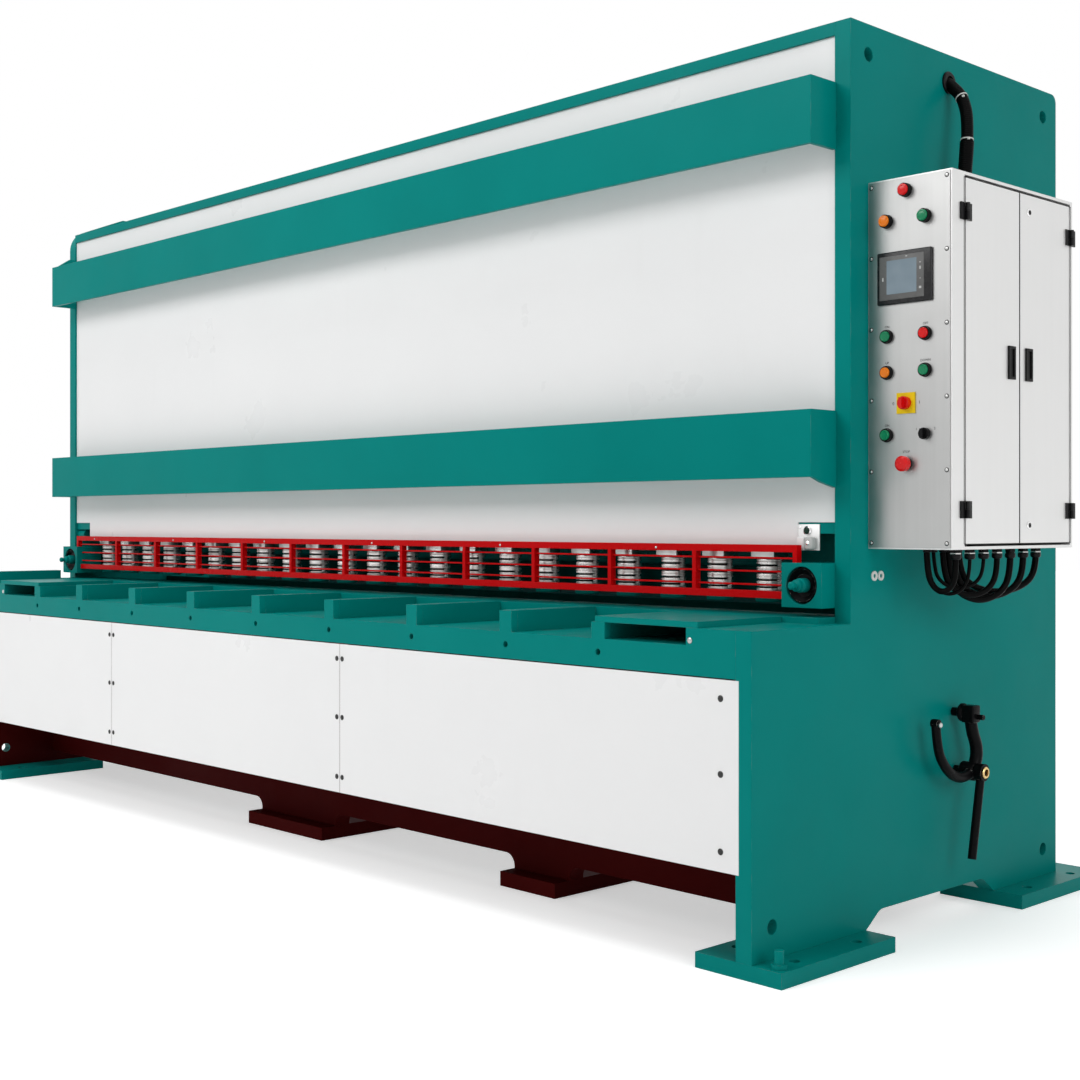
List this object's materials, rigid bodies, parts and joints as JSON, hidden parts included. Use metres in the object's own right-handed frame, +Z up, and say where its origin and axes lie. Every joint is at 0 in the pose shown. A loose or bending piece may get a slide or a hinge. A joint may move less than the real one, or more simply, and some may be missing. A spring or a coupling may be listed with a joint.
{
  "type": "hydraulic guillotine shear",
  "caption": "Hydraulic guillotine shear for sheet metal: long blade table with hold-downs behind a red guard, white front plates between teal side frames, side control cabinet.",
  "frame": {"origin": "on the floor at the middle of the bounding box", "axes": "+X along the blades towards the control cabinet, +Y from the operator to the rear, +Z up"},
  "size_m": [4.653, 1.608, 2.53],
  "materials": {
    "teal_paint": "semi-gloss machine enamel with light wear",
    "white_paint": "smooth white enamel",
    "oxide_primer": "dark red oxide paint, matt",
    "red_paint": "glossy signal red enamel",
    "tool_steel": "ground tool steel",
    "turned_steel": "turned, polished bands",
    "cabinet_steel": "satin stainless sheet",
    "panel_steel": "brushed stainless sheet",
    "black_iron": "black enamel, chipped at the edges",
    "black_plastic": "moulded black plastic",
    "cable_sheath": "black flexible sheath",
    "screen_bezel": "black bezel with a grey-blue display",
    "chrome_ring": "bright plated rings",
    "green_cap": "green button cap",
    "red_cap": "red button cap",
    "orange_cap": "orange button cap",
    "lamp_lens": "red, orange and green lamp lenses",
    "yellow_plate": "yellow backing plate",
    "sensor_grey": "light grey housing with a dark lens",
    "machine_grey": "grey enamel"
  },
  "bodies": {
    "machine": {"side_frame_right": "teal_paint", "side_frame_left": "teal_paint", "foot_plates": "teal_paint", "levelling_screws": "teal_paint", "bed_beam": "oxide_primer", "bed_feet": "oxide_primer", "table_apron": "teal_paint", "table_ribs": "teal_paint", "table_floor": "teal_paint", "table_bolster": "teal_paint", "end_plates": "teal_paint", "side_gauge": "teal_paint", "front_covers": "white_paint", "cover_posts": "oxide_primer", "front_plate": "white_paint", "top_plate": "teal_paint", "upper_rail": "teal_paint", "lower_rail": "teal_paint", "shear_blades": "tool_steel", "knife_beam": "teal_paint", "hold_down_barrels": "turned_steel", "hold_down_shelf": "teal_paint", "finger_guard": "red_paint", "end_housings": "teal_paint", "gap_dials": "black_iron", "sensor_bracket": "sensor_grey", "cabinet_shell": "cabinet_steel", "mounting_plate": "sensor_grey", "control_panel": "panel_steel", "door_hinges": "black_plastic", "screen": "screen_bezel", "pilot_lamps": "lamp_lens", "button_collars": "chrome_ring", "switch_plate": "yellow_plate", "conduit": "cable_sheath", "conduit_glands": "black_plastic", "cable_glands": "black_plastic", "hanging_cables": "cable_sheath", "lever_bracket": "black_iron", "rear_beams": "teal_paint", "ram_cylinders": "machine_grey", "ram_rods": "turned_steel", "oil_tank": "machine_grey", "pump_motor": "machine_grey", "back_gauge_slides": "machine_grey", "back_gauge_bar": "machine_grey"},
    "hold_down_set": {"hold_down_pads": "teal_paint"},
    "front_door": {"cabinet_door_front": "cabinet_steel", "door_handle_front": "black_plastic"},
    "rear_door": {"cabinet_door_rear": "cabinet_steel", "door_handle_rear": "black_plastic"},
    "isolator_knob": {"main_switch": "red_cap"},
    "selector_knob": {"selector_switch": "black_plastic"},
    "stop_mushroom": {"stop_button": "red_cap"},
    "upper_green_cap": {"green_button_upper": "green_cap"},
    "red_cap": {"red_button": "red_cap"},
    "orange_cap": {"orange_button": "orange_cap"},
    "middle_green_cap": {"green_button_middle": "green_cap"},
    "lower_green_cap": {"green_button_lower": "green_cap"},
    "hand_lever": {"gap_lever": "black_iron"}
  },
  "joints": [
    {"name": "hold_down_stroke", "type": "slide", "parent": "machine", "child": "hold_down_set", "axis": [0, 0, -1], "range_m": [0, 0.022]},
    {"name": "front_door_hinge", "type": "hinge", "parent": "machine", "child": "front_door", "pos_m": [2.3205, -0.248, 1.5275], "axis": [0, 0, -1], "range_deg": [0, 110]},
    {"name": "rear_door_hinge", "type": "hinge", "parent": "machine", "child": "rear_door", "pos_m": [2.3205, 0.296, 1.5275], "axis": [0, 0, 1], "range_deg": [0, 110]},
    {"name": "isolator_turn", "type": "hinge", "parent": "machine", "child": "isolator_knob", "pos_m": [2.1815, -0.314, 1.423], "axis": [0, -1, 0], "range_deg": [0, 90]},
    {"name": "selector_turn", "type": "hinge", "parent": "machine", "child": "selector_knob", "pos_m": [2.2385, -0.314, 1.342], "axis": [0, -1, 0], "range_deg": [-45, 45]},
    {"name": "stop_press", "type": "slide", "parent": "machine", "child": "stop_mushroom", "axis": [0, 1, 0], "range_m": [0, 0.0045]},
    {"name": "upper_green_press", "type": "slide", "parent": "machine", "child": "upper_green_cap", "axis": [0, 1, 0], "range_m": [0, 0.0045], "stiffness_N_per_m": 300, "springref_m": -0.002},
    {"name": "red_press", "type": "slide", "parent": "machine", "child": "red_cap", "axis": [0, 1, 0], "range_m": [0, 0.0045], "stiffness_N_per_m": 300, "springref_m": -0.002},
    {"name": "orange_press", "type": "slide", "parent": "machine", "child": "orange_cap", "axis": [0, 1, 0], "range_m": [0, 0.0045], "stiffness_N_per_m": 300, "springref_m": -0.002},
    {"name": "middle_green_press", "type": "slide", "parent": "machine", "child": "middle_green_cap", "axis": [0, 1, 0], "range_m": [0, 0.0045], "stiffness_N_per_m": 300, "springref_m": -0.002},
    {"name": "lower_green_press", "type": "slide", "parent": "machine", "child": "lower_green_cap", "axis": [0, 1, 0], "range_m": [0, 0.0045], "stiffness_N_per_m": 300, "springref_m": -0.002},
    {"name": "gap_lever_swing", "type": "hinge", "parent": "machine", "child": "hand_lever", "pos_m": [2.1458, 0.113, 0.418], "axis": [1, 0, 0], "range_deg": [-30, 45]}
  ]
}
